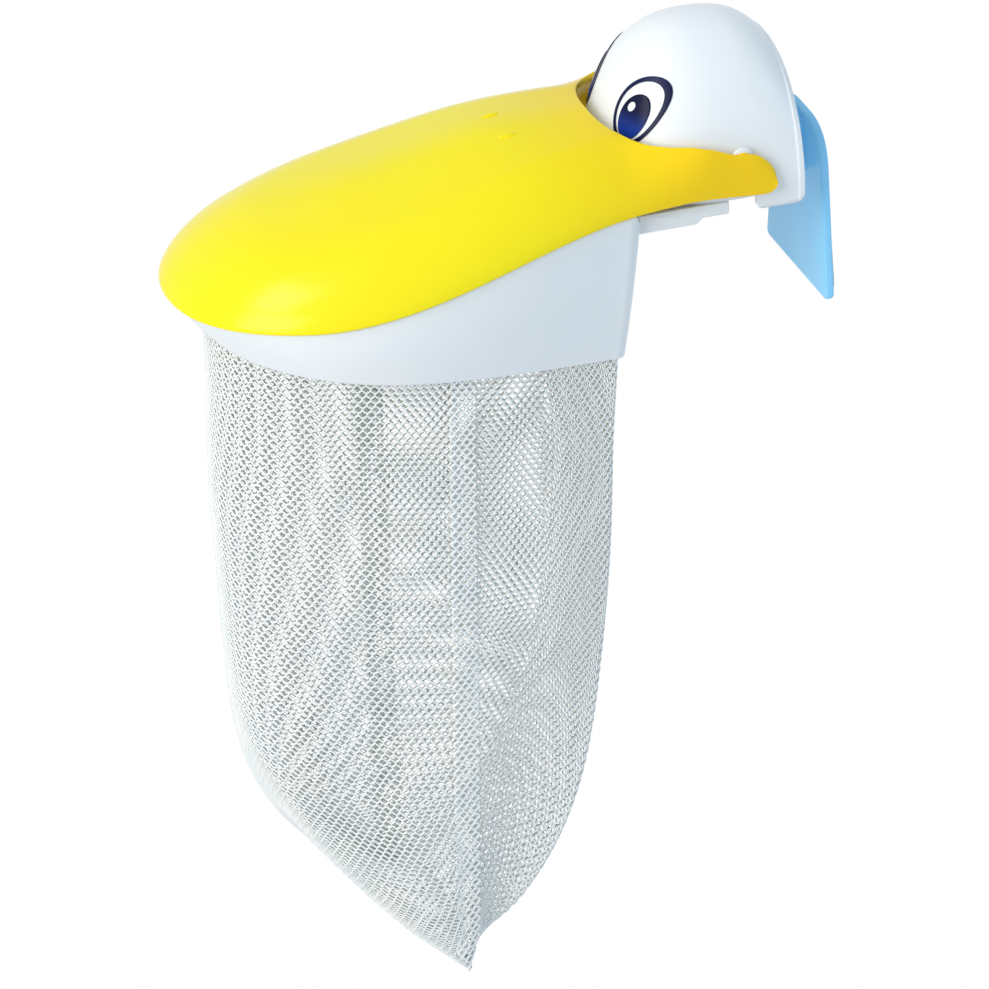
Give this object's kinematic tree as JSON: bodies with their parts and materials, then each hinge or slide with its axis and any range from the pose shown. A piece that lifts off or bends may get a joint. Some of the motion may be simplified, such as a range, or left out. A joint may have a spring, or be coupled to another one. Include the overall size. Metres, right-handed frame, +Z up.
{
  "type": "bath toy organizer",
  "caption": "Wall-hung bath toy organizer shaped like a pelican: a hinged beak lid over a jaw frame with a net bag below, lifting off its bracket.",
  "frame": {"origin": "middle of the adhesive pad's back face, which sticks to the wall", "axes": "+Y into the wall, +Z up, so the beak points to -Y and the bird's own left side is +X"},
  "size_m": [0.1408, 0.297, 0.424],
  "materials": {
    "beak_yellow": "gloss moulded yellow",
    "head_white": "gloss moulded white",
    "jaw_white": "gloss moulded white",
    "bracket_blue": "gloss moulded light blue",
    "pad_foam": "closed-cell adhesive foam",
    "net_white": "knitted polyester net",
    "eye_print": "printed navy",
    "screw_steel": "zinc plated"
  },
  "bodies": {
    "wall_mount": {"wall_bracket": "bracket_blue", "adhesive_pad": "pad_foam"},
    "lid": {"beak_lid": "beak_yellow"},
    "pelican": {"head_shell": "head_white", "head_back_cover": "head_white", "jaw_frame": "jaw_white", "bag_hoop": "jaw_white", "net_bag": "net_white", "bag_seam_left": "net_white", "bag_seam_right": "net_white", "eye_iris_left": "eye_print", "eye_iris_right": "eye_print", "eye_outline_left": "eye_print", "eye_outline_right": "eye_print", "deck_screw_left": "screw_steel", "deck_screw_right": "screw_steel", "cover_screw_lower_left": "screw_steel", "cover_screw_lower_right": "screw_steel", "cover_screw_upper_left": "screw_steel", "cover_screw_upper_right": "screw_steel"}
  },
  "joints": [
    {"name": "lift_off", "type": "slide", "parent": "wall_mount", "child": "pelican", "axis": [0, 0, 1], "range_m": [0, 0.045]},
    {"name": "lid_hinge", "type": "hinge", "parent": "pelican", "child": "lid", "pos_m": [0, -0.049, 0.0415], "axis": [-1, 0, 0], "range_deg": [0, 95]}
  ]
}
